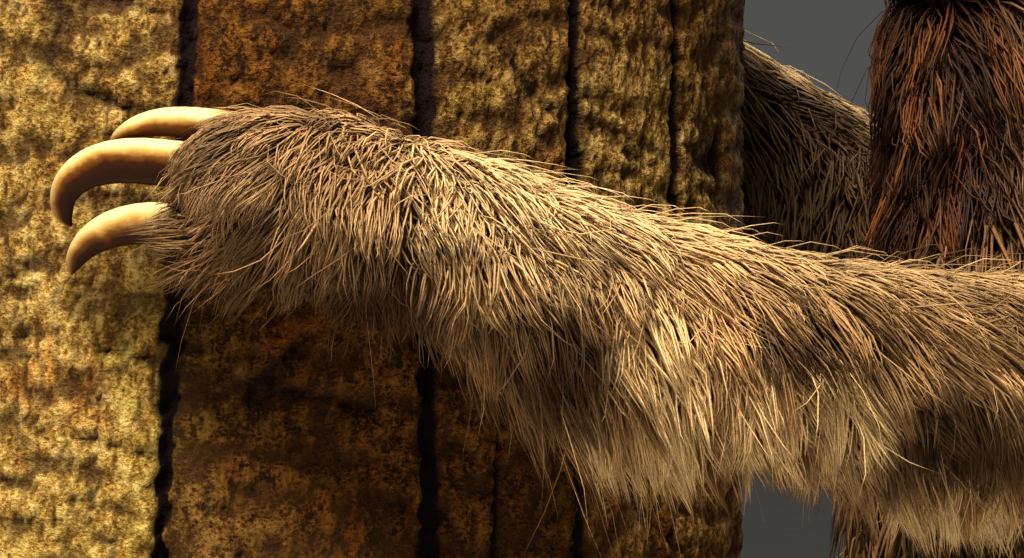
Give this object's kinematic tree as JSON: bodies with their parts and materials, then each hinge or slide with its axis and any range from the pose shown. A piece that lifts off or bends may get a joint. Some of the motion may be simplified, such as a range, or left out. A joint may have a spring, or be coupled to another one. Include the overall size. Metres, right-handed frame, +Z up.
{
  "type": "three-toed sloth, life-size still model",
  "caption": "Life-size three-toed sloth that hugs a cut length of tree trunk on a flat display stand, with long shaggy fur and hooked claws laid on the bark.",
  "frame": {"origin": "on the floor under the trunk's axis, at the middle of its width", "axes": "+Z up along the trunk; the sloth clings to the +X side and faces -X; its left arm and leg are on the -Y side"},
  "size_m": [0.6092, 0.4549, 0.92],
  "materials": {
    "coat": "long coarse grey-brown fur with lighter golden tips",
    "horn": "smooth cream-coloured horn, satin",
    "eye": "dark brown glass eye, high gloss",
    "nose_leather": "black fine-grained leathery skin, slightly moist",
    "bark": "dry ochre bark with dark upright fissures, sawn wood on both ends",
    "stand_board": "dark stained board, satin lacquer",
    "stand_steel": "turned steel rod, satin"
  },
  "bodies": {
    "root": {"claw_foot_left_1": "horn", "claw_foot_left_2": "horn", "claw_foot_left_3": "horn", "claw_foot_right_1": "horn", "claw_foot_right_2": "horn", "claw_foot_right_3": "horn", "claw_hand_left_1": "horn", "claw_hand_left_2": "horn", "claw_hand_left_3": "horn", "claw_hand_right_1": "horn", "claw_hand_right_2": "horn", "claw_hand_right_3": "horn", "eye_left": "eye", "eye_right": "eye", "foot_left": "coat", "foot_right": "coat", "forearm_left": "coat", "forearm_right": "coat", "hand_left": "coat", "hand_right": "coat", "head": "coat", "neck": "coat", "nose": "nose_leather", "perch_log": "bark", "shank_left": "coat", "shank_right": "coat", "stand_base": "stand_board", "stand_rod_1": "stand_steel", "stand_rod_2": "stand_steel", "tail": "coat", "thigh_left": "coat", "thigh_right": "coat", "torso": "coat", "upper_arm_left": "coat", "upper_arm_right": "coat"}
  },
  "joints": []
}
